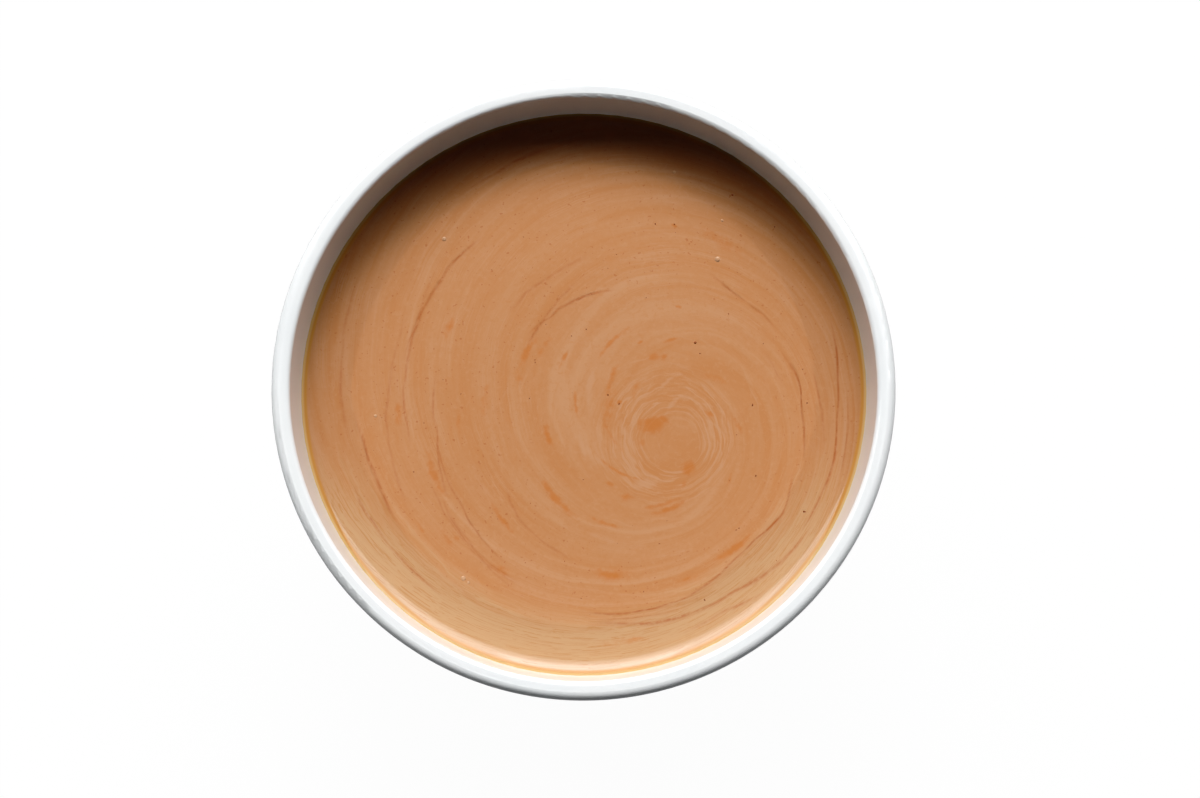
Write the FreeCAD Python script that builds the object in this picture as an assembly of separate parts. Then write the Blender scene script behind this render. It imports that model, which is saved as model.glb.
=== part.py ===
# A plain round porcelain cup on a foot ring, filled with milk tea.
#
# Millimetres, +Z up. The cup stands on z = 0 and everything turns about the Z axis.
# The wall is one thickness all the way from the lip to the floor: a straight flared
# stretch at the top, then a quarter bend down to a flat floor. The tea fills the
# cavity from the same wall lines, and its skin climbs the wall in a meniscus.

import FreeCAD
import Part
import math
import os

# Driving dimensions of the cup
RIM_DIAMETER = 104.0        # over the outside of the lip
CUP_HEIGHT = 66.0           # table to the top of the lip
WALL_THICKNESS = 3.2        # wall and floor
LIP_CROWN = 6.0             # radius of the lip's slightly domed top, in section
LIP_OUTER_ROUND = 1.4       # rounding from the lip's top into the outer wall
LIP_INNER_ROUND = 0.8       # rounding from the lip's top into the inner wall
WALL_FLARE = 6.0            # degrees that the upper wall leans out from vertical
FLOOR_RADIUS = 12.0         # flat middle of the floor, before the bend starts
FOOT_DIAMETER = 54.0        # outside of the foot ring, at the table
FOOT_LAND = 3.0             # width of the foot ring, at the table
FOOT_CLEARANCE = 3.4        # table to the underside of the floor, inside the ring
FOOT_DRAFT = 9.0            # degrees that both sides of the foot ring lean
FOOT_EDGE_FILLET = 0.8      # rounding of the ring's two edges at the table
FOOT_ROOT_FILLET = 2.0      # rounding where each side of the ring meets the bend

# Driving dimensions of the tea
FREEBOARD = 11.0            # top of the lip down to the level tea
MENISCUS_RISE = 1.7         # how far the tea climbs the wall above its level
CAPILLARY_LENGTH = 2.2      # how fast the climb dies away from the wall
MENISCUS_REACH = 5.0        # capillary lengths over which the climb is drawn
MENISCUS_POINTS = 11        # points of the climb's curve

TURN = 360.0
AXIS = FreeCAD.Vector(0, 0, 1)
ORIGIN = FreeCAD.Vector(0, 0, 0)


def point(radius, height):
    """A point of a half section, drawn in the XZ plane."""
    return FreeCAD.Vector(radius, 0, height)


def line(start, end):
    return Part.LineSegment(start, end).toShape()


def arc(centre, start, end):
    """The shorter arc round a centre from one of its points to another."""
    spokes = (start - centre) + (end - centre)
    middle = centre + spokes.normalize() * (start - centre).Length
    return Part.Arc(start, middle, end).toShape()


def run_inside(start, direction, radius):
    """How far a point, given from a circle's centre, runs before it meets the circle."""
    along = start.dot(direction)
    return math.sqrt(along ** 2 - start.dot(start) + radius ** 2) - along


def turned(edges):
    """The solid that a closed half section makes when it turns about the axis."""
    face = Part.Face(Part.Wire(edges))
    return face.revolve(ORIGIN, AXIS, TURN)


class Wall:
    """The half section of the cup's wall: an inner and an outer line, one thickness apart.

    Each line runs from the lip down a straight flared stretch, round a bend and onto
    the flat floor. Both bends share one centre, so the wall keeps its thickness.
    """

    def __init__(self):
        lean = math.radians(WALL_FLARE)
        outward = point(math.cos(lean), -math.sin(lean))
        upward = point(math.sin(lean), math.cos(lean))
        half = WALL_THICKNESS / 2

        # Both roundings of the lip touch its domed top from inside. The outer one
        # reaches the rim's full width.
        self.crown_centre = point(RIM_DIAMETER / 2 - half, CUP_HEIGHT - LIP_CROWN)
        reach = LIP_CROWN - LIP_OUTER_ROUND
        aside = half - LIP_OUTER_ROUND
        spoke = point(aside, math.sqrt(reach ** 2 - aside ** 2))
        self.outer_round = self.crown_centre + spoke
        self.crown_outer = self.crown_centre + spoke * (LIP_CROWN / reach)
        self.lip_outer = self.outer_round + outward * LIP_OUTER_ROUND

        reach = LIP_CROWN - LIP_INNER_ROUND
        start = self.lip_outer - outward * (WALL_THICKNESS - LIP_INNER_ROUND)
        start = start - self.crown_centre
        spoke = start + upward * run_inside(start, upward, reach)
        self.inner_round = self.crown_centre + spoke
        self.crown_inner = self.crown_centre + spoke * (LIP_CROWN / reach)
        self.lip_inner = self.inner_round - outward * LIP_INNER_ROUND

        # The inner bend is tangent to the straight inner wall and to the floor.
        floor_height = FOOT_CLEARANCE + WALL_THICKNESS
        run = self.lip_inner.x - FLOOR_RADIUS
        drop = self.lip_inner.z - floor_height
        self.inner_bend = ((run * math.cos(lean) - drop * math.sin(lean))
                           / (1 - math.sin(lean)))
        self.outer_bend = self.inner_bend + WALL_THICKNESS
        self.bend_centre = point(FLOOR_RADIUS, floor_height + self.inner_bend)
        self.inner_top = self.bend_centre + outward * self.inner_bend
        self.outer_top = self.bend_centre + outward * self.outer_bend
        self.inner_end = self.bend_centre - point(0, self.inner_bend)
        self.outer_end = self.bend_centre - point(0, self.outer_bend)

    def inner_radius(self, height):
        """The cavity's radius at a height, on the straight wall or on the bend."""
        if height > self.inner_top.z:
            fall = self.lip_inner.z - height
            return self.lip_inner.x - fall * math.tan(math.radians(WALL_FLARE))
        below = self.bend_centre.z - height
        return self.bend_centre.x + math.sqrt(self.inner_bend ** 2 - below ** 2)


class RingSide:
    """One leaning side of the foot ring, rounded at the table and at the bend.

    facing is 1 for the ring's outside and -1 for its inside.
    """

    def __init__(self, wall, table_radius, facing):
        draft = math.radians(FOOT_DRAFT)
        up = point(facing * math.sin(draft), math.cos(draft))
        away = point(facing * math.cos(draft), -math.sin(draft))
        corner = point(table_radius, 0)

        rise = FOOT_EDGE_FILLET * (1 - math.sin(draft)) / math.cos(draft)
        self.edge_high = corner + up * rise
        self.edge_centre = self.edge_high - away * FOOT_EDGE_FILLET
        self.edge_low = point(self.edge_centre.x, 0)

        # The root's centre climbs beside this side until it is a fillet off the bend.
        reach = wall.outer_bend + FOOT_ROOT_FILLET
        start = corner + away * FOOT_ROOT_FILLET - wall.bend_centre
        along = start.dot(up)
        climb = -along - math.sqrt(along ** 2 - start.dot(start) + reach ** 2)
        self.root_low = corner + up * climb
        self.root_centre = self.root_low + away * FOOT_ROOT_FILLET
        spoke = self.root_centre - wall.bend_centre
        self.root_high = wall.bend_centre + spoke * (wall.outer_bend / reach)


def make_cup(wall):
    """The cup and its foot ring, which are one piece of porcelain."""
    outside = RingSide(wall, FOOT_DIAMETER / 2, 1)
    inside = RingSide(wall, FOOT_DIAMETER / 2 - FOOT_LAND, -1)
    underside = point(0, wall.outer_end.z)
    floor = point(0, wall.inner_end.z)
    return turned([
        line(underside, wall.outer_end),
        arc(wall.bend_centre, wall.outer_end, inside.root_high),
        arc(inside.root_centre, inside.root_high, inside.root_low),
        line(inside.root_low, inside.edge_high),
        arc(inside.edge_centre, inside.edge_high, inside.edge_low),
        line(inside.edge_low, outside.edge_low),
        arc(outside.edge_centre, outside.edge_low, outside.edge_high),
        line(outside.edge_high, outside.root_low),
        arc(outside.root_centre, outside.root_low, outside.root_high),
        arc(wall.bend_centre, outside.root_high, wall.outer_top),
        line(wall.outer_top, wall.lip_outer),
        arc(wall.outer_round, wall.lip_outer, wall.crown_outer),
        arc(wall.crown_centre, wall.crown_outer, wall.crown_inner),
        arc(wall.inner_round, wall.crown_inner, wall.lip_inner),
        line(wall.lip_inner, wall.inner_top),
        arc(wall.bend_centre, wall.inner_top, wall.inner_end),
        line(wall.inner_end, floor),
        line(floor, underside),
    ])


def meniscus_points(wall):
    """The tea's climb, from its level out to where it ends on the wall."""
    level = CUP_HEIGHT - FREEBOARD
    contact = wall.inner_radius(level + MENISCUS_RISE)
    reach = MENISCUS_REACH * CAPILLARY_LENGTH
    tail = math.exp(-MENISCUS_REACH)
    points = []
    for i in range(MENISCUS_POINTS):
        away = reach * (1 - i / (MENISCUS_POINTS - 1))
        climb = (math.exp(-away / CAPILLARY_LENGTH) - tail) / (1 - tail)
        points.append(point(contact - away, level + MENISCUS_RISE * climb))
    return points


def make_chai(wall):
    """The tea: the cavity below a surface that is level and then climbs the wall."""
    floor = point(0, wall.inner_end.z)
    mouth = point(0, wall.lip_inner.z)
    cavity = turned([
        line(floor, wall.inner_end),
        arc(wall.bend_centre, wall.inner_end, wall.inner_top),
        line(wall.inner_top, wall.lip_inner),
        line(wall.lip_inner, mouth),
        line(mouth, floor),
    ])

    climb = meniscus_points(wall)
    middle = point(0, climb[0].z)
    beyond = point(RIM_DIAMETER / 2, climb[-1].z)
    deep = point(RIM_DIAMETER / 2, 0)
    curve = Part.BSplineCurve()
    curve.interpolate(climb)
    below_surface = turned([
        line(middle, climb[0]),
        curve.toShape(),
        line(climb[-1], beyond),
        line(beyond, deep),
        line(deep, ORIGIN),
        line(ORIGIN, middle),
    ])
    return cavity.common(below_surface)


def main():
    wall = Wall()
    os.makedirs("parts", exist_ok=True)
    for name, made in (("cup", make_cup(wall)), ("chai", make_chai(wall))):
        solid = made.Solids[0]
        print(f"{name}: {len(made.Solids)} solid, valid {solid.isValid()},"
              f" {solid.Volume / 1000:.1f} cm3")
        solid.exportStep(f"parts/{name}.step")


main()
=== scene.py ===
import math

import bpy
import numpy as np
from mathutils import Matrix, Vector


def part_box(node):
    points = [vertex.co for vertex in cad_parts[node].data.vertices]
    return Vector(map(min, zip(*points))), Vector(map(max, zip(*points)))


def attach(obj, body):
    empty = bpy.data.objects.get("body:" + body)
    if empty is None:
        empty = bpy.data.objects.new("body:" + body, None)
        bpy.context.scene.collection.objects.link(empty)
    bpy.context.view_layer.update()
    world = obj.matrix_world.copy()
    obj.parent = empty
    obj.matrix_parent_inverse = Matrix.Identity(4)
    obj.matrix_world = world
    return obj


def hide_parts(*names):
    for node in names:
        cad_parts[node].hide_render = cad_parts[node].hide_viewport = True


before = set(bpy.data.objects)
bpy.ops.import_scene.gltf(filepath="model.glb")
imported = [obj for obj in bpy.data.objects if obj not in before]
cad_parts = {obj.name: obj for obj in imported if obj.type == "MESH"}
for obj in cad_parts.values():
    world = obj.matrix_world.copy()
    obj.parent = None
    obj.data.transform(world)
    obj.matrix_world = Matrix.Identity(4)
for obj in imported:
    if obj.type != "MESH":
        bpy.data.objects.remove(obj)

# Masala chai in a white porcelain cup, on a plain pale floor, seen from almost straight
# above. The frame is in metres, and the tea's pattern is worked out in millimetres.
# The pattern follows a stirred swirl: rings that are concentric with the cup at the
# wall and shrink to the swirl's middle, south-east of the cup's axis. A place on the
# tea is a ring, 0 at that middle to 1 at the wall, and an angle, 0 at east and
# counterclockwise. North is +Y.

MM = 0.001
TURN = 2 * math.pi
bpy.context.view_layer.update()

# Camera: lens and place
CAMERA_ELEVATION = math.radians(84.1)
CAMERA_DISTANCE = 0.43          # from the middle of the rim
CAMERA_LENS = 77.7
CAMERA_AIM = Vector((2.74 * MM, -2.23 * MM, 0))   # from the middle of the rim

# Light: one window with a bright middle, as layers of width, height and power
KEY_AZIMUTH = math.radians(-2)  # from north towards east
KEY_ELEVATION = math.radians(44)
KEY_DISTANCE = 2.0
KEY_LAYERS = ((0.5, 0.4, 5.0), (0.8, 0.5, 11.0), (2.0, 0.8, 26.0), (3.6, 1.3, 43.0))
SKY_STRENGTH = 0.036
SKY_COLOUR = (0.88, 0.93, 1.0)
BACKDROP_COLOUR = (1.0, 1.0, 1.0)
FLOOR_BOUNCE = 0.50             # how much of the light the floor gives back to the cup
FLOOR_GLOW = 0.975              # share of the floor's whiteness that shadows don't touch
FLOOR_HALF_SIDE = 3.0
# The display's curve, as pairs of light and how light it is shown
TONE_CURVE = ((0.02, 0.006), (0.05, 0.028), (0.12, 0.096), (0.3, 0.278), (0.6, 0.59))

# The swirl, in millimetres from the cup's axis
SWIRL = (15.6, -9.0)            # its middle
SWIRL_BEND = (12.0, -2.0)       # how the rings' centres bend off the line to the axis
SWIRL_TWIST = 1.5               # turns by which the streaks wind between middle and wall

# Tea surface
SEGMENTS = 256
INNER_RINGS = 62                # between the swirl's middle and SPLIT_RING
OUTER_RINGS = 268               # between SPLIT_RING and the wall
SPLIT_RING = 0.3
WALL_RINGS = 12                 # down the wall, out of sight
INTO_WALL = 0.2 * MM
CAPILLARY = 2.2                 # millimetres over which the meniscus dies away


def node_points(name):
    """A CAD node's points as radius, height, in metres."""
    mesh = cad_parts[name].data
    points = np.empty(len(mesh.vertices) * 3)
    mesh.vertices.foreach_get("co", points)
    points = points.reshape(-1, 3)
    return np.hypot(points[:, 0], points[:, 1]), points[:, 2]


# Measures of the frame
RIM_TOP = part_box("cup")[1].z
TEA_RADII, TEA_HEIGHTS = node_points("chai")
CONTACT_RADIUS = TEA_RADII.max()
CONTACT_HEIGHT = TEA_HEIGHTS.max()
TEA_FLOOR = TEA_HEIGHTS.min()
LEVEL = TEA_HEIGHTS[(TEA_RADII < CONTACT_RADIUS - 5 * CAPILLARY * MM)
                    & (TEA_HEIGHTS > CONTACT_HEIGHT / 2)].max()


# ---------------------------------------------------------------- stage

def make_camera():
    aim = Vector((0, 0, RIM_TOP)) + CAMERA_AIM
    back = Vector((0, -math.cos(CAMERA_ELEVATION), math.sin(CAMERA_ELEVATION)))
    camera = bpy.data.objects.new("camera", bpy.data.cameras.new("camera"))
    camera.data.lens = CAMERA_LENS
    camera.location = aim + back * CAMERA_DISTANCE
    camera.rotation_euler = (-back).to_track_quat("-Z", "Y").to_euler()
    bpy.context.scene.collection.objects.link(camera)
    bpy.context.scene.camera = camera


def make_key_light():
    """One large soft window of light, north of the cup, brighter towards its middle."""
    towards = Vector((math.sin(KEY_AZIMUTH) * math.cos(KEY_ELEVATION),
                      math.cos(KEY_AZIMUTH) * math.cos(KEY_ELEVATION),
                      math.sin(KEY_ELEVATION)))
    for width, height, power in KEY_LAYERS:
        light = bpy.data.lights.new("key", "AREA")
        light.shape = "RECTANGLE"
        light.size = width
        light.size_y = height
        light.energy = power
        key = bpy.data.objects.new("key", light)
        key.location = Vector((0, 0, RIM_TOP)) + towards * KEY_DISTANCE
        key.rotation_euler = (-towards).to_track_quat("-Z", "Y").to_euler()
        bpy.context.scene.collection.objects.link(key)


def make_world():
    """A dim bluish room that shows as a white backdrop."""
    world = bpy.data.worlds.new("room")
    world.use_nodes = True
    tree = Tree(world.node_tree)
    room = tree.add("Background", Color=(*SKY_COLOUR, 1), Strength=SKY_STRENGTH)
    backdrop = tree.add("Background", Color=(*BACKDROP_COLOUR, 1), Strength=1.0)
    path = tree.add("LightPath")
    mix = tree.add("MixShader")
    tree.link(path.outputs["Is Camera Ray"], mix.inputs[0])
    tree.link(room.outputs[0], mix.inputs[1])
    tree.link(backdrop.outputs[0], mix.inputs[2])
    tree.link(mix.outputs[0], tree.add("OutputWorld").inputs["Surface"])
    bpy.context.scene.world = world


def make_floor():
    """A floor that shows nearly white by its own glow, so that the cup's shadow stays faint.

    What it gives back to the cup is set apart from what it shows to the camera.
    """
    side = FLOOR_HALF_SIDE
    mesh = bpy.data.meshes.new("floor")
    mesh.from_pydata([(-side, -side, 0), (side, -side, 0), (side, side, 0), (-side, side, 0)],
                     [], [(0, 1, 2, 3)])
    floor = bpy.data.objects.new("floor", mesh)
    bpy.context.scene.collection.objects.link(floor)

    material = bpy.data.materials.new("floor_paper")
    material.use_nodes = True
    tree = Tree(material.node_tree)
    bounce = tree.add("BsdfDiffuse", Color=(FLOOR_BOUNCE, FLOOR_BOUNCE, FLOOR_BOUNCE, 1))
    paper = tree.add("BsdfDiffuse", Color=(1, 1, 1, 1))
    glow = tree.add("Emission", Color=(*BACKDROP_COLOUR, 1), Strength=1.0)
    shown = tree.add("MixShader", Fac=FLOOR_GLOW)
    path = tree.add("LightPath")
    mix = tree.add("MixShader")
    tree.link(paper.outputs[0], shown.inputs[1])
    tree.link(glow.outputs[0], shown.inputs[2])
    tree.link(path.outputs["Is Camera Ray"], mix.inputs[0])
    tree.link(bounce.outputs[0], mix.inputs[1])
    tree.link(shown.outputs[0], mix.inputs[2])
    tree.link(mix.outputs[0], tree.add("OutputMaterial").inputs["Surface"])
    mesh.materials.append(material)


def set_tone():
    """The plain display transform, with a camera's soft toe in the shadows."""
    view = bpy.context.scene.view_settings
    view.view_transform = "Standard"
    view.use_curve_mapping = True
    curve = view.curve_mapping.curves[3]
    for light, shown in TONE_CURVE:
        curve.points.new(light, shown)
    view.curve_mapping.update()


# ---------------------------------------------------------------- shader helpers

class Tree:
    """A node tree, emptied, with short ways to add and link nodes."""

    def __init__(self, node_tree):
        self.nodes = node_tree.nodes
        self.links = node_tree.links
        self.nodes.clear()

    def add(self, kind, **values):
        """A node with some of its inputs set. Fac is the first input of a mixer."""
        node = self.nodes.new(kind if kind.startswith("Shader") else "ShaderNode" + kind)
        for name, value in values.items():
            socket = node.inputs[0] if name == "Fac" else node.inputs[name.replace("_", " ")]
            socket.default_value = value
        return node

    def link(self, output, socket):
        self.links.new(output, socket)

    def place(self):
        """The shaded point, in millimetres."""
        return self.stretch(self.add("NewGeometry").outputs["Position"], (1 / MM,) * 3)

    def attribute(self, name, output="Fac"):
        node = self.nodes.new("ShaderNodeAttribute")
        node.attribute_name = name
        return node.outputs[output]

    def math(self, operation, a, b=None):
        node = self.nodes.new("ShaderNodeMath")
        node.operation = operation
        for socket, value in zip(node.inputs, (a, b)):
            if value is None:
                continue
            if isinstance(value, (int, float)):
                socket.default_value = value
            else:
                self.link(value, socket)
        return node.outputs[0]

    def times(self, a, b):
        return self.math("MULTIPLY", a, b)

    def plus(self, a, b):
        return self.math("ADD", a, b)

    def centred(self, value):
        """A share of 0 to 1 less its middle."""
        return self.math("SUBTRACT", value, 0.5)

    def ramp(self, value, low, high, to_low=0.0, to_high=1.0):
        """A smooth step from to_low to to_high as value goes from low to high."""
        node = self.nodes.new("ShaderNodeMapRange")
        node.interpolation_type = "SMOOTHSTEP"
        self.link(value, node.inputs["Value"])
        for name, number in (("From Min", low), ("From Max", high),
                             ("To Min", to_low), ("To Max", to_high)):
            node.inputs[name].default_value = number
        return node.outputs["Result"]

    def vector(self, operation, a, b=None):
        node = self.nodes.new("ShaderNodeVectorMath")
        node.operation = operation
        for socket, value in zip(node.inputs, (a, b)):
            if isinstance(value, tuple):
                socket.default_value = value
            elif value is not None:
                self.link(value, socket)
        return node.outputs[0]

    def stretch(self, vector, scale):
        return self.vector("MULTIPLY", vector, scale)

    def split(self, vector):
        node = self.nodes.new("ShaderNodeSeparateXYZ")
        self.link(vector, node.inputs[0])
        return node.outputs

    def noise(self, vector, scale=1.0, detail=2.0, roughness=0.5, distortion=0.0):
        node = self.nodes.new("ShaderNodeTexNoise")
        self.link(vector, node.inputs["Vector"])
        for name, number in (("Scale", scale), ("Detail", detail),
                             ("Roughness", roughness), ("Distortion", distortion)):
            node.inputs[name].default_value = number
        return node.outputs["Fac"]

    def mix(self, factor, first, second):
        """One colour over another. A colour is a socket or three numbers."""
        node = self.nodes.new("ShaderNodeMix")
        node.data_type = "RGBA"
        colours = [socket for socket in node.inputs if socket.type == "RGBA"]
        self.link(factor, node.inputs[0])
        for socket, colour in zip(colours, (first, second)):
            if isinstance(colour, tuple):
                socket.default_value = (*colour, 1)
            else:
                self.link(colour, socket)
        return [output for output in node.outputs if output.type == "RGBA"][0]

    def bump(self, height, distance, strength=1.0, normal=None):
        node = self.nodes.new("ShaderNodeBump")
        self.link(height, node.inputs["Height"])
        node.inputs["Distance"].default_value = distance
        node.inputs["Strength"].default_value = strength
        if normal is not None:
            self.link(normal, node.inputs["Normal"])
        return node.outputs["Normal"]

    def principled(self, colour, roughness, normal=None, **values):
        """The surface. Colour and roughness are sockets; values are plain numbers."""
        shader = self.add("BsdfPrincipled", **values)
        self.link(colour, shader.inputs["Base Color"])
        self.link(roughness, shader.inputs["Roughness"])
        if normal is not None:
            self.link(normal, shader.inputs["Normal"])
        self.link(shader.outputs[0], self.add("OutputMaterial").inputs["Surface"])


def new_material(name):
    material = bpy.data.materials.new(name)
    material.use_nodes = True
    return material, Tree(material.node_tree)


# ---------------------------------------------------------------- porcelain

GLAZE = (0.910, 0.926, 0.928)
GLAZE_THICK = (0.88, 0.905, 0.912)
GLAZE_LINE = 0.9                # millimetres above the table where the glaze starts
GLAZE_RAGGED = 0.5              # millimetres by which that line wanders
GLAZE_FADE = 0.25               # millimetres over which the glaze comes in
GLAZE_SHEEN = (0.07, 0.13)      # roughness
GLAZE_RIPPLE = 0.03 * MM
BISCUIT = (0.72, 0.67, 0.60)
BISCUIT_PALE = (0.82, 0.78, 0.72)
BISCUIT_ROUGH = 0.75
BISCUIT_GRAIN = 0.06 * MM


def porcelain_material():
    """Clear glossy glaze over white clay, wiped off the ring that the cup stands on."""
    material, tree = new_material("glazed_porcelain")
    place = tree.place()
    height = tree.split(place)["Z"]

    cloud = tree.noise(place, scale=0.06, detail=3.0, roughness=0.55)
    glaze = tree.mix(tree.ramp(cloud, 0.3, 0.75), GLAZE, GLAZE_THICK)
    edge = tree.plus(height, tree.times(tree.noise(place, scale=0.35), GLAZE_RAGGED))
    glazed = tree.ramp(edge, GLAZE_LINE, GLAZE_LINE + GLAZE_FADE)
    grain = tree.noise(place, scale=6.0, detail=4.0, roughness=0.6)
    clay = tree.mix(grain, BISCUIT, BISCUIT_PALE)
    colour = tree.mix(glazed, clay, glaze)

    sheen = tree.ramp(tree.noise(place, scale=0.2, detail=3.0), 0.2, 0.8, *GLAZE_SHEEN)
    rough = tree.nodes.new("ShaderNodeMix")
    tree.link(glazed, rough.inputs[0])
    rough.inputs[2].default_value = BISCUIT_ROUGH
    tree.link(sheen, rough.inputs[3])

    skin = tree.bump(tree.noise(place, scale=0.12), GLAZE_RIPPLE, 0.5)
    rub = tree.times(grain, tree.math("SUBTRACT", 1.0, glazed))
    normal = tree.bump(rub, BISCUIT_GRAIN, 0.8, skin)
    tree.principled(colour, rough.outputs[0], normal, IOR=1.5)
    return material


# ---------------------------------------------------------------- tea: places and pattern

# Creases of the tea's skin: width in millimetres, depth 0 to 1, and their course as
# (angle in degrees, ring).
CREASES = (
    (0.20, 1.0, ((25, 0.553), (14, 0.579), (2, 0.574), (-12, 0.606))),
    (0.20, 1.0, ((-21, 0.576), (-34, 0.630), (-46, 0.604), (-57, 0.620), (-72, 0.688),
                 (-82, 0.710), (-100, 0.730))),
    (0.22, 1.0, ((19, 0.842), (6, 0.806), (-4, 0.787), (-14, 0.806), (-33, 0.800))),
    (0.34, 0.8, ((-33, 0.835), (-43, 0.821), (-58, 0.775), (-81, 0.778), (-96, 0.760))),
    (0.20, 0.6, ((64, 0.572), (52, 0.557), (34, 0.578))),
    (0.20, 0.6, ((13, 0.662), (3, 0.678), (-10, 0.724))),
    (0.26, 0.6, ((-50, 0.895), (-61, 0.845), (-72, 0.866))),
    (0.18, 0.5, ((30, 0.482), (16, 0.497))),
    (0.18, 0.5, ((2, 0.855), (-19, 0.890))),
    (0.18, 0.5, ((-74, 0.735), (-98, 0.752))),
)
HIDDEN_CREASES = 16             # more of them round the half that faces west
CREASE_DROP = 0.012             # millimetres that a crease dips below the surface
CREASE_WANDER = 0.0022          # rings by which a crease strays from its listed course
CREASE_PATCHY = 0.16            # how much its depth varies along it
CREASE_SWELL = 0.12             # how much its width varies along it
HIDDEN_ARC = (120, 255)         # degrees, where hidden creases start

# Oily spice patches: angle, ring, half length and half width in millimetres, strength
OIL_PATCHES = (
    (90, 0.274, 0.7, 0.5, 1.0), (103, 0.325, 0.5, 0.25, 1.0), (84, 0.326, 1.6, 0.3, 0.8),
    (118, 0.356, 4.0, 0.4, 0.7), (135, 0.270, 5.5, 0.6, 0.6), (178, 0.207, 4.0, 0.5, 0.5),
    (-93, 0.250, 3.6, 0.5, 0.7), (-86, 0.268, 3.2, 0.6, 0.8), (-122, 0.266, 0.9, 0.6, 0.8),
    (-138, 0.266, 0.7, 0.5, 0.7), (-144, 0.218, 5.0, 0.3, 0.7), (-118, 0.385, 2.6, 0.5, 0.7),
    (6, 0.262, 2.4, 0.5, 0.5), (-101, 0.567, 3.0, 1.0, 0.8), (-54, 0.566, 4.2, 0.6, 0.9),
    (-72, 0.603, 3.0, 0.5, 0.5), (60, 0.700, 6.0, 1.3, 0.45), (82, 0.679, 0.3, 0.3, 0.9),
    (76, 0.690, 0.3, 0.3, 0.9), (78, 0.434, 0.5, 0.3, 0.9), (49, 0.263, 3.2, 0.6, 0.5),
    (-37, 0.288, 2.0, 0.4, 0.5), (-86, 0.850, 5.0, 0.9, 0.45), (-66, 0.866, 3.0, 0.7, 0.35),
    (124, 0.205, 1.9, 0.7, 0.5),
)
HIDDEN_PATCHES = 18             # more oily ones round the western half

# Oily dabs with courses of their own, most near the swirl's middle: place in
# millimetres, half length, half width, lean in degrees, strength
OIL_DABS = (
    (11.8, -5.4, 2.0, 1.5, 15, 1.0), (13.6, -4.6, 1.3, 0.7, -30, 0.8),
    (9.6, -5.2, 1.2, 0.6, 70, 0.7), (9.8, -8.6, 1.0, 0.6, 30, 0.5),
    (17.8, -12.9, 1.3, 1.0, 60, 1.0), (17.0, -15.6, 0.8, 0.5, 80, 0.6),
    (6.0, -1.6, 0.4, 0.4, 0, 1.0), (21.3, -3.6, 0.8, 0.5, -20, 0.8),
    (4.4, -3.0, 5.0, 1.3, 82, 0.42), (12.0, 6.1, 1.0, 0.6, 10, 0.8),
    (7.4, -17.8, 1.6, 0.8, 25, 0.55), (4.6, -30.8, 3.2, 1.2, 4, 0.6),
)

# Milky patches between the streaks, like the oily ones
MILK_PATCHES = (
    (90, 0.200, 2.6, 0.5, 0.9), (112, 0.190, 1.8, 0.4, 0.7), (86, 0.135, 2.2, 0.8, 1.0),
    (68, 0.150, 1.6, 0.5, 0.8), (40, 0.180, 3.0, 0.3, 0.8), (14, 0.170, 4.0, 0.35, 0.9),
    (-12, 0.185, 3.6, 0.3, 0.8), (-116, 0.185, 2.2, 1.4, 1.0), (-100, 0.205, 1.5, 0.5, 0.6),
    (172, 0.165, 4.2, 1.1, 0.8), (150, 0.300, 4.5, 1.0, 0.8), (192, 0.285, 4.0, 1.3, 0.8),
    (-40, 0.200, 3.0, 0.4, 0.7), (-64, 0.330, 5.0, 0.7, 0.5), (-110, 0.440, 8.0, 0.6, 0.6),
    (-80, 0.470, 6.0, 0.5, 0.5), (28, 0.420, 5.0, 0.9, 0.4), (75, 0.520, 6.0, 1.2, 0.4),
    (118, 0.470, 8.0, 1.1, 0.5), (210, 0.600, 9.0, 1.2, 0.5), (160, 0.700, 9.0, 1.4, 0.4),
)
CREAM_AND_LIGHT_REACH = (15, 3)           # millimetres from the wall over which the creamy colour and its painted light come in
PATCH_SLANT = 0.11              # ring lost for each radian that an inner patch runs on

SEED = 7


def ring_centre(ring):
    """The centre of a ring's circle, in millimetres."""
    return ((1 - ring) * (SWIRL[0] + SWIRL_BEND[0] * ring),
            (1 - ring) * (SWIRL[1] + SWIRL_BEND[1] * ring))


def ring_point(ring, angle):
    """A place's position, in millimetres."""
    centre_x, centre_y = ring_centre(ring)
    radius = CONTACT_RADIUS / MM * ring
    return centre_x + radius * np.cos(angle), centre_y + radius * np.sin(angle)


def ring_spacing(ring, angle):
    """Millimetres across the flow for one unit of ring."""
    drift_x = -SWIRL[0] + SWIRL_BEND[0] * (1 - 2 * ring)
    drift_y = -SWIRL[1] + SWIRL_BEND[1] * (1 - 2 * ring)
    return CONTACT_RADIUS / MM + drift_x * np.cos(angle) + drift_y * np.sin(angle)


def turn_from(angle, start):
    """How far an angle lies from another, the short way round."""
    return (angle - start + math.pi) % TURN - math.pi


def smooth_step(value, low, high):
    t = np.clip((value - low) / (high - low), 0, 1)
    return t * t * (3 - 2 * t)


def wobble(random, x, size, longest):
    """A smooth random wave along x, made of five sines."""
    total = 0
    for i in range(1, 6):
        total = total + np.sin(i * x * TURN / longest + random.uniform(0, TURN)) / i
    return size * total


def hidden_creases(random):
    """Creases like the listed ones, for the western half."""
    creases = []
    for i in range(HIDDEN_CREASES):
        start = random.uniform(*HIDDEN_ARC)
        length = random.uniform(18, 50)
        ring = random.uniform(0.5, 0.9)
        drift = random.uniform(-0.03, 0.06)
        middle = ring + drift / 2 + random.uniform(-0.01, 0.01)
        course = ((start, ring), (start - length / 2, middle), (start - length, ring + drift))
        creases.append((random.uniform(0.16, 0.3), random.uniform(0.4, 0.9), course))
    return creases


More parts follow.
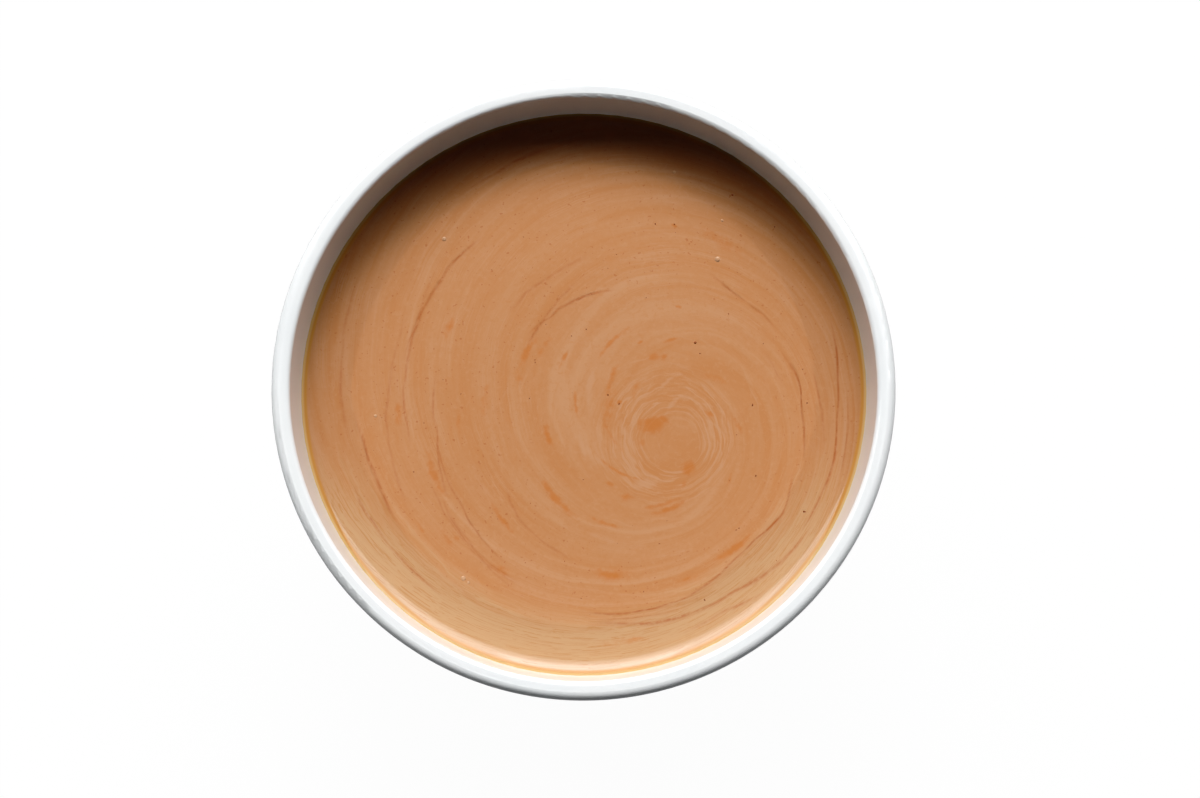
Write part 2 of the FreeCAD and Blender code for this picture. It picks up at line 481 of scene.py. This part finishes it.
def crease_field(ring, angle, random):
    """How deep in a crease each place is, 0 to 1."""
    field = np.zeros_like(ring)
    for width, depth, course in list(CREASES) + hidden_creases(random):
        angles = np.radians([point[0] for point in course])
        middle = (angles[0] + angles[-1]) / 2
        turns = turn_from(angle, middle)
        known = np.array(angles)[::-1] - middle
        line = np.interp(turns, known, [point[1] for point in course][::-1])
        line = line + wobble(random, turns, CREASE_WANDER, 0.55)
        across = (ring - line) * ring_spacing(ring, angle)
        half = known[-1]
        taper = smooth_step(np.abs(turns), half + 0.05, half - 0.12)
        patchy = 0.8 + wobble(random, turns, CREASE_PATCHY, 0.4)
        thickness = width * (0.8 + wobble(random, turns, CREASE_SWELL, 0.5))
        field = np.maximum(field, depth * taper * patchy * np.exp(-(across / thickness) ** 2))
    return np.clip(field, 0, 1)


def hidden_patches(random):
    """Oily patches like the listed ones, for the western half."""
    patches = []
    for i in range(HIDDEN_PATCHES):
        size = random.uniform(0.3, 1.0)
        patches.append((random.uniform(125, 245), random.uniform(0.3, 0.92),
                        size * random.uniform(1, 6), size, random.uniform(0.4, 0.9)))
    return patches


def patch_field(ring, angle, patches):
    """How deep in a patch each place is, 0 to 1. Patches lie along the flow, slanting inwards."""
    field = np.zeros_like(ring)
    for degrees, at_ring, length, width, strength in patches:
        turns = turn_from(angle, math.radians(degrees))
        slant = PATCH_SLANT * smooth_step(at_ring, 0.5, 0.3)
        along = turns * CONTACT_RADIUS / MM * at_ring
        across = (ring - at_ring + slant * turns) * ring_spacing(ring, angle)
        patch = strength * np.exp(-(along / length) ** 2 - (across / width) ** 2)
        field = np.maximum(field, patch)
    return field


def dab_field(x, y):
    """How deep in an oily dab each place is, 0 to 1."""
    field = np.zeros_like(x)
    for dab_x, dab_y, length, width, degrees, strength in OIL_DABS:
        lean = math.radians(degrees)
        along = (x - dab_x) * math.cos(lean) + (y - dab_y) * math.sin(lean)
        across = (y - dab_y) * math.cos(lean) - (x - dab_x) * math.sin(lean)
        dab = strength * np.exp(-(along / length) ** 2 - (across / width) ** 2)
        field = np.maximum(field, dab)
    return field


def cream_and_lit_field(x, y):
    """How creamy each place is, with painted light in it: milk fat along the wall, and a painted
    brightening strongest by the southern wall, where the lit inner wall throws light onto the tea.
    """
    radius = np.hypot(x, y)
    near_wall = smooth_step(CONTACT_RADIUS / MM - radius, *CREAM_AND_LIGHT_REACH)
    # Painted light: the southern inner wall faces the lamp and brightens the tea beside it.
    lit_south = smooth_step(-y / np.maximum(radius, 1), -0.1, 0.85)
    return near_wall * lit_south


def tea_rings():
    """The rings of the tea's surface mesh, finer where its creases are."""
    inner = np.linspace(0, SPLIT_RING, INNER_RINGS + 1)[1:]
    outer = np.linspace(SPLIT_RING, 1, OUTER_RINGS + 1)[1:]
    return np.concatenate([inner, outer])


def wall_line():
    """Radii and heights of the cup's inside, from the contact line down to the floor."""
    side = (TEA_RADII > CONTACT_RADIUS / 3) & (TEA_HEIGHTS < LEVEL - MM)
    order = np.argsort(TEA_HEIGHTS[side])
    heights = np.linspace(CONTACT_HEIGHT, TEA_FLOOR, WALL_RINGS + 1)[1:]
    known_heights = np.append(TEA_HEIGHTS[side][order], CONTACT_HEIGHT)
    known_radii = np.append(TEA_RADII[side][order], CONTACT_RADIUS)
    return np.interp(heights, known_heights, known_radii), heights


def tea_height(x, y):
    """The surface's height at points in millimetres: level, then the climb at the wall."""
    away = np.maximum(CONTACT_RADIUS / MM - np.hypot(x, y), 0)
    return (LEVEL + (CONTACT_HEIGHT - LEVEL) * np.exp(-away / CAPILLARY)) / MM


def flow_place(ring, angle):
    """Places unwound along the flow, in millimetres, for noise that follows the swirl."""
    radius = CONTACT_RADIUS / MM * ring
    wound = angle + TURN * SWIRL_TWIST * ring
    return np.stack([radius * np.cos(wound), radius * np.sin(wound), radius], -1)


def make_tea():
    """The tea as one closed piece: its surface, then down inside the wall to the floor."""
    random = np.random.default_rng(SEED)
    rings = tea_rings()
    angles = np.arange(SEGMENTS) * TURN / SEGMENTS
    ring, angle = np.meshgrid(rings, angles, indexing="ij")
    x, y = ring_point(ring, angle)
    creases = crease_field(ring, angle, random)
    surface = np.stack([x, y, tea_height(x, y) - CREASE_DROP * creases], -1)
    # The outermost ring reaches into the wall, and the sides follow it down.
    radii, heights = wall_line()
    round_x = np.cos(angles)
    round_y = np.sin(angles)
    side_radii = (np.append(CONTACT_RADIUS, radii) + INTO_WALL) / MM
    climb = (CONTACT_HEIGHT - LEVEL) / (CAPILLARY * MM)
    side_heights = np.append(CONTACT_HEIGHT + climb * INTO_WALL, heights) / MM
    sides = np.stack([side_radii[:, None] * round_x, side_radii[:, None] * round_y,
                      side_heights[:, None] + 0 * round_x], -1)
    sheet = np.concatenate([surface, sides]).reshape(-1, 3)
    middle = [(*SWIRL, LEVEL / MM), (0, 0, TEA_FLOOR / MM)]
    points = np.concatenate([sheet, middle]) * MM

    rows = len(rings) + len(side_radii)
    start = np.arange(rows - 1)[:, None] * SEGMENTS
    here = np.arange(SEGMENTS)[None]
    after = (here + 1) % SEGMENTS
    quads = np.stack([start + here, start + here + SEGMENTS,
                      start + after + SEGMENTS, start + after], -1).reshape(-1, 4)
    top, bottom = len(sheet), len(sheet) + 1
    last = (rows - 1) * SEGMENTS
    fans = [(top, i, (i + 1) % SEGMENTS) for i in range(SEGMENTS)]
    fans += [(bottom, last + (i + 1) % SEGMENTS, last + i) for i in range(SEGMENTS)]
    mesh = bpy.data.meshes.new("tea")
    mesh.from_pydata(points.tolist(), [], quads.tolist() + fans)
    mesh.polygons.foreach_set("use_smooth", np.ones(len(mesh.polygons), bool))
    mesh.update()

    gap = CONTACT_RADIUS / MM - np.hypot(x, y)
    keep_attribute(mesh, "wall_gap", gap)
    keep_attribute(mesh, "crease", creases)
    oily = list(OIL_PATCHES) + hidden_patches(random)
    oil = np.maximum(patch_field(ring, angle, oily), dab_field(x, y))
    keep_attribute(mesh, "oil", oil)
    keep_attribute(mesh, "milk", patch_field(ring, angle, MILK_PATCHES))
    # Creamy band at the wall, with painted light strongest by the lit southern wall.
    keep_attribute(mesh, "cream_and_light", cream_and_lit_field(x, y))
    keep_attribute(mesh, "flow", flow_place(ring, angle))

    tea = bpy.data.objects.new("tea", mesh)
    bpy.context.scene.collection.objects.link(tea)
    mesh.materials.append(tea_material())
    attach(tea, "root")
    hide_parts("chai")


def keep_attribute(mesh, name, values):
    """Store values of the first points on a mesh. The rest of the points get zero."""
    if values.ndim == 3:
        full = np.zeros((len(mesh.vertices), 3))
        full[:values[..., 0].size] = values.reshape(-1, 3)
        layer = mesh.attributes.new(name, "FLOAT_VECTOR", "POINT")
        layer.data.foreach_set("vector", full.ravel())
    else:
        full = np.zeros(len(mesh.vertices))
        full[:values.size] = values.ravel()
        layer = mesh.attributes.new(name, "FLOAT", "POINT")
        layer.data.foreach_set("value", full)


# ---------------------------------------------------------------- tea: material

TEA = (0.520, 0.250, 0.114)
TEA_DEEP = (0.505, 0.224, 0.090)
TEA_PALE = (0.545, 0.290, 0.152)
TEA_MILK = (0.545, 0.295, 0.162)
# Creamy tea, lightened by painted light from the lit southern inner wall.
TEA_CREAM_AND_WALL_LIGHT = (0.540, 0.328, 0.176)
SPICE_OIL = (0.510, 0.178, 0.048)
MARBLE_BROWN = (0.470, 0.215, 0.078)
CREASE_BROWN = (0.400, 0.120, 0.040)
CONTACT_LINE = (0.645, 0.418, 0.182)
CONTACT_AMBER = (0.555, 0.258, 0.066)

# How much of the colour below each mark covers where it is strongest, 0 to 1
PALE_MARBLE = 0.80
PALE_STREAKS = 0.60
DEEP_STREAKS = 0.50
FEATHERS = 0.55
PALE_MOTTLE = 0.40
DEEP_MOTTLE = 0.45
PITS = 0.50
EDDY_ARCS = 0.80
CURDS = 0.75
VEINS = 0.65
OIL = 0.72
CREASES_FAINT_TO_FULL = (0.35, 0.95)

# Stretches of the noises along the flow: in its two directions round the swirl, and
# across its rings, where a larger number makes thinner bands
CLOUDS = (0.085, 0.085, 0.03)
BROAD_STREAKS = (0.05, 0.05, 0.85)
FINE_STREAKS = (0.12, 0.12, 2.4)
CLOSE_ARCS = (0.16, 0.16, 1.9)
CREAM_VEINS = (0.26, 0.26, 0.50)
FLOW_SWAY = (5.0, 5.0, 2.2)     # millimetres by which streaks stray from perfect arcs

AMBER_BAND = (1.15, 0.65)       # millimetres from the wall over which it comes in
LINE_BAND = (0.62, 0.15)
TEA_ROUGH = (0.30, 0.38)
SKIN_RELIEF = 0.035 * MM
SLOPE_SHARE = 0.35              # how far the tea's glow follows its slope


def bent_flow(tree, place):
    """Coordinates along the flow, bent a little so that no streak is a perfect arc."""
    bend = tree.nodes.new("ShaderNodeTexNoise")
    tree.link(place, bend.inputs["Vector"])
    bend.inputs["Scale"].default_value = 0.16
    bend.inputs["Detail"].default_value = 3.0
    sway = tree.stretch(bend.outputs["Color"], FLOW_SWAY)
    return tree.vector("ADD", tree.attribute("flow", "Vector"), sway)


def streaks(tree, flow):
    """Broad and fine streaks along the flow in one value, 0 to 1."""
    broad = tree.noise(tree.stretch(flow, BROAD_STREAKS), detail=3.0, roughness=0.6)
    fine = tree.noise(tree.stretch(flow, FINE_STREAKS), roughness=0.55)
    return tree.plus(tree.times(broad, 0.65), tree.times(fine, 0.35))


def feathers(tree, flow, ring):
    """Fine threads that wind outwards across the rings, away from the middle."""
    spoke = tree.vector("NORMALIZE", tree.stretch(flow, (1, 1, 0)))
    spoke = tree.vector("ADD", tree.stretch(spoke, (40, 40, 0)),
                        tree.stretch(flow, (0, 0, 0.16)))
    thread = tree.math("ABSOLUTE", tree.centred(tree.noise(spoke, scale=0.9)))
    return tree.times(tree.ramp(ring, 0.3, 0.5), tree.ramp(thread, 0.045, 0.0))


def marbled(tree, place, flow, tone, feather):
    """The tea's own colour: clouds, streaks and feathers."""
    cloud = tree.noise(tree.stretch(flow, CLOUDS), detail=4.0, roughness=0.55, distortion=0.6)
    colour = tree.mix(tree.ramp(cloud, 0.30, 0.56), TEA_DEEP, TEA)
    colour = tree.mix(tree.ramp(cloud, 0.52, 0.72, 0.0, PALE_MARBLE), colour, TEA_PALE)
    colour = tree.mix(tree.ramp(tone, 0.54, 0.72, 0.0, PALE_STREAKS), colour, TEA_PALE)
    colour = tree.mix(tree.ramp(tone, 0.46, 0.30, 0.0, DEEP_STREAKS), colour, TEA_DEEP)
    where = tree.ramp(tree.noise(place, scale=0.11), 0.42, 0.60, 0.0, FEATHERS)
    return tree.mix(tree.times(feather, where), colour, TEA_MILK)


def mottled(tree, colour, place, ring):
    """Fine mottling all over, and pits away from the swirl's middle."""
    mottle = tree.noise(place, scale=1.3, detail=3.0, roughness=0.65, distortion=0.4)
    colour = tree.mix(tree.ramp(mottle, 0.52, 0.72, 0.0, PALE_MOTTLE), colour, TEA_PALE)
    colour = tree.mix(tree.ramp(mottle, 0.48, 0.30, 0.0, DEEP_MOTTLE), colour, TEA_DEEP)
    pits = tree.noise(place, scale=1.9, detail=1.0, roughness=0.4)
    pits = tree.times(tree.ramp(pits, 0.70, 0.77, 0.0, PITS), tree.ramp(ring, 0.35, 0.55))
    return tree.mix(pits, colour, CREASE_BROWN)


def eddied(tree, colour, place, flow, ring):
    """Close arcs round the swirl's middle, and milky patches broken up by them."""
    arcs = tree.noise(tree.stretch(flow, CLOSE_ARCS), roughness=0.55, distortion=0.5)
    eddy = tree.times(tree.ramp(ring, 0.06, 0.13), tree.ramp(ring, 0.30, 0.19))
    pale_arcs = tree.times(eddy, tree.ramp(arcs, 0.50, 0.66, 0.0, EDDY_ARCS))
    dark_arcs = tree.times(eddy, tree.ramp(arcs, 0.48, 0.36, 0.0, EDDY_ARCS))
    colour = tree.mix(dark_arcs, colour, TEA_DEEP)
    colour = tree.mix(pale_arcs, colour, TEA_MILK)
    curd = tree.plus(tree.attribute("milk"), tree.centred(arcs))
    curd = tree.plus(curd, tree.centred(tree.noise(place, scale=0.9, detail=3.0)))
    return tree.mix(tree.ramp(curd, 0.25, 0.95, 0.0, CURDS), colour, TEA_MILK)


def creamed_and_lit(tree, colour, flow, tone):
    """Creamy colour along the wall with brown veins in it, and painted light strongest by the
    southern wall, where the lit inner wall brightens the tea.
    """
    cream_and_light = tree.attribute("cream_and_light")
    # The creamy share also carries painted light, strongest by the lit southern wall.
    milky = tree.plus(cream_and_light, tree.times(tree.centred(tone), 1.2))
    milky = tree.times(tree.ramp(milky, 0.1, 0.9), tree.ramp(cream_and_light, 0.0, 0.3))
    colour = tree.mix(milky, colour, TEA_CREAM_AND_WALL_LIGHT)
    vein = tree.noise(tree.stretch(flow, CREAM_VEINS), detail=5.0, roughness=0.64,
                      distortion=2.2)
    vein = tree.times(tree.ramp(vein, 0.50, 0.62, 0.0, VEINS), tree.ramp(cream_and_light, 0.1, 0.6))
    return tree.mix(vein, colour, MARBLE_BROWN)


def spiced(tree, colour, place):
    """Ragged patches of spice oil, and the creases' brown."""
    oil = tree.attribute("oil")
    ragged = tree.centred(tree.noise(place, scale=0.75, detail=4.0, roughness=0.6))
    oily = tree.ramp(tree.plus(oil, tree.times(ragged, 1.3)), 0.12, 0.85, 0.0, OIL)
    colour = tree.mix(tree.times(oily, tree.ramp(oil, 0.02, 0.3)), colour, SPICE_OIL)
    broken = tree.noise(place, scale=0.8, detail=3.0, roughness=0.6)
    crease = tree.ramp(broken, 0.30, 0.60, *CREASES_FAINT_TO_FULL)
    return tree.mix(tree.times(crease, tree.attribute("crease")), colour, CREASE_BROWN)


def tea_material():
    """Milky tea: marbled along the swirl, creased, creamy at the wall with painted light by the
    southern wall, amber where it ends.
    """
    material, tree = new_material("milky_tea")
    place = tree.place()
    flow = bent_flow(tree, place)
    ring = tree.times(tree.split(tree.attribute("flow", "Vector"))["Z"], MM / CONTACT_RADIUS)
    tone = streaks(tree, flow)
    feather = feathers(tree, flow, ring)

    colour = marbled(tree, place, flow, tone, feather)
    colour = mottled(tree, colour, place, ring)
    colour = eddied(tree, colour, place, flow, ring)
    colour = creamed_and_lit(tree, colour, flow, tone)
    colour = spiced(tree, colour, place)
    gap = tree.attribute("wall_gap")
    colour = tree.mix(tree.ramp(gap, *AMBER_BAND), colour, CONTACT_AMBER)
    colour = tree.mix(tree.ramp(gap, *LINE_BAND), colour, CONTACT_LINE)

    rough = tree.ramp(tone, 0.3, 0.7, *TEA_ROUGH)
    relief = tree.plus(tree.times(tone, 0.6), tree.times(feather, 0.3))
    skin = tree.bump(relief, SKIN_RELIEF, 0.6)
    # Light that goes into the tea comes out spread, so its glow follows the slope only a
    # little. The coat is the tea's wet top, which shines by the true slope.
    slope = tree.vector("ADD", tree.stretch(skin, (SLOPE_SHARE,) * 3), (0, 0, 1 - SLOPE_SHARE))
    glow = tree.vector("NORMALIZE", slope)
    tree.principled(colour, rough, glow, IOR=1.34, Coat_Weight=1.0, Coat_Roughness=0.07,
                    Coat_IOR=1.5)
    return material


# ---------------------------------------------------------------- specks and bubbles

# Spice specks that show best: place and width in millimetres
SPECKS = (
    (25.5, 34.1, 0.7), (32.7, 28.6, 0.6), (38.0, -1.8, 0.6), (19.0, 8.6, 0.8), (19.8, 6.7, 0.5),
    (28.7, -2.1, 0.8), (25.8, -23.4, 0.5), (26.3, -23.1, 0.4), (4.1, -0.4, 0.5), (6.0, -1.9, 0.7),
    (15.5, 29.0, 0.5), (12.2, 29.1, 0.5), (20.4, -35.2, 0.6), (37.4, -20.3, 0.9), (30.6, 8.4, 0.4),
    (37.3, 4.0, 0.4), (12.8, -25.7, 0.4), (29.2, -14.2, 0.5),
)
SPECK_CORE = 0.7                # the flake's width, as a share of the speck with its stain
LOOSE_SPECKS = 60               # fine ones strewn at random
LOOSE_WIDTHS = (0.10, 0.30)
SPECK_SIDES = 9
FLAKE_SLIM = (0.45, 0.9)        # a flake's breadth, as a share of its width
FLAKE_THICK = (0.12, 0.2)       # half its thickness, as a share of its width
FLAKE_RAGGED = (0.65, 1.15)     # reach of its corners, as a share of half its width
SPECK_BROWN = (0.230, 0.066, 0.024)
SPECK_RED = (0.400, 0.110, 0.030)

# Bubbles: place and radius in millimetres. The rest are shares of a bubble's radius.
BUBBLES = ((22.9, 23.0, 0.42), (15.5, 38.1, 0.26), (23.7, 29.7, 0.22), (-24.0, 26.5, 0.34),
           (-35.5, -4.0, 0.24), (-20.4, -31.6, 0.36), (-19.5, -32.3, 0.22))
BUBBLE_FOOT = 1.18              # reach of its flat foot
BUBBLE_RISE = 0.30              # height
BUBBLE_DRAUGHT = 0.10           # depth of its closed underside
BUBBLE_SIDES = 28
BUBBLE_STEPS = 9
BUBBLE_PALE = (0.580, 0.350, 0.205)


def piece_from(name, points, faces, material):
    """A smooth piece that floats on the tea, from points in millimetres."""
    mesh = bpy.data.meshes.new(name)
    mesh.from_pydata((np.array(points) * MM).tolist(), [], faces)
    mesh.polygons.foreach_set("use_smooth", np.ones(len(mesh.polygons), bool))
    mesh.update()
    mesh.materials.append(material)
    piece = bpy.data.objects.new(name, mesh)
    bpy.context.scene.collection.objects.link(piece)
    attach(piece, "root")


def add_flake(points, faces, x, y, width, random):
    """One closed flake: a ragged outline, sharp at its edge and domed on both sides."""
    first = len(points)
    turn = random.uniform(0, TURN)
    slim = random.uniform(*FLAKE_SLIM)
    thick = width * random.uniform(*FLAKE_THICK)
    surface = tea_height(x, y)
    for i in range(SPECK_SIDES):
        angle = TURN * i / SPECK_SIDES
        reach = width / 2 * random.uniform(*FLAKE_RAGGED)
        along = reach * math.cos(angle)
        across = reach * slim * math.sin(angle)
        points.append((x + along * math.cos(turn) - across * math.sin(turn),
                       y + along * math.sin(turn) + across * math.cos(turn), surface))
    points.append((x, y, surface + thick))
    points.append((x, y, surface - thick))
    for i in range(SPECK_SIDES):
        here = first + i
        after = first + (i + 1) % SPECK_SIDES
        faces.append((here, after, first + SPECK_SIDES))
        faces.append((after, here, first + SPECK_SIDES + 1))


def speck_material():
    """Wet bark-brown flakes, some redder than others."""
    material, tree = new_material("wet_spice")
    place = tree.place()
    hue = tree.ramp(tree.noise(place, scale=0.5), 0.4, 0.62)
    grain = tree.noise(place, scale=7.0, detail=3.0, roughness=0.6)
    colour = tree.mix(tree.times(grain, hue), SPECK_BROWN, SPECK_RED)
    rough = tree.ramp(grain, 0.3, 0.7, 0.35, 0.6)
    tree.principled(colour, rough, tree.bump(grain, 0.03 * MM, 0.7), IOR=1.45)
    return material


def make_specks():
    """The listed specks and the loose ones, as one piece."""
    random = np.random.default_rng(SEED + 1)
    points = []
    faces = []
    for x, y, width in SPECKS:
        add_flake(points, faces, x, y, SPECK_CORE * width, random)
    farthest = CONTACT_RADIUS / MM - 2 * CAPILLARY
    for i in range(LOOSE_SPECKS):
        reach = farthest * math.sqrt(random.uniform(0, 1))
        angle = random.uniform(0, TURN)
        width = random.uniform(*LOOSE_WIDTHS)
        add_flake(points, faces, reach * math.cos(angle), reach * math.sin(angle), width, random)
    piece_from("spice_specks", points, faces, speck_material())


def add_bubble(points, faces, x, y, radius):
    """One closed bubble: a low dome on a flat foot that runs out over the tea."""
    first = len(points)
    surface = tea_height(x, y)
    for step in range(BUBBLE_STEPS):
        share = step / BUBBLE_STEPS
        out = radius * (BUBBLE_FOOT - share)
        height = BUBBLE_RISE * radius * math.sqrt(max(0.0, 1 - (out / radius) ** 2))
        for i in range(BUBBLE_SIDES):
            angle = TURN * i / BUBBLE_SIDES
            points.append((x + out * math.cos(angle), y + out * math.sin(angle), surface + height))
    points.append((x, y, surface + BUBBLE_RISE * radius))
    points.append((x, y, surface - BUBBLE_DRAUGHT * radius))
    top = len(points) - 2
    last = first + (BUBBLE_STEPS - 1) * BUBBLE_SIDES
    for i in range(BUBBLE_SIDES):
        after = (i + 1) % BUBBLE_SIDES
        for step in range(BUBBLE_STEPS - 1):
            low = first + step * BUBBLE_SIDES
            high = low + BUBBLE_SIDES
            faces.append((low + i, low + after, high + after, high + i))
        faces.append((last + i, last + after, top))
        faces.append((first + after, first + i, top + 1))


def bubble_material():
    """A thin clear film over milky tea."""
    material, tree = new_material("bubble_film")
    swirl = tree.noise(tree.place(), scale=1.6, detail=3.0, distortion=0.5)
    colour = tree.mix(tree.ramp(swirl, 0.35, 0.65), BUBBLE_PALE, TEA_MILK)
    rough = tree.ramp(swirl, 0.3, 0.7, 0.10, 0.20)
    tree.principled(colour, rough, None, IOR=1.34)
    return material


def make_bubbles():
    """All bubbles, as one piece."""
    points = []
    faces = []
    for x, y, radius in BUBBLES:
        add_bubble(points, faces, x, y, radius)
    piece_from("tiny_bubbles", points, faces, bubble_material())


# ---------------------------------------------------------------- all together

def dress_cup():
    """The cup keeps its CAD shape and gets its glaze."""
    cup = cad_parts["cup"]
    for slot in cup.material_slots:
        slot.material = porcelain_material()


make_camera()
make_key_light()
make_world()
make_floor()
dress_cup()
make_tea()
make_specks()
make_bubbles()
set_tone()
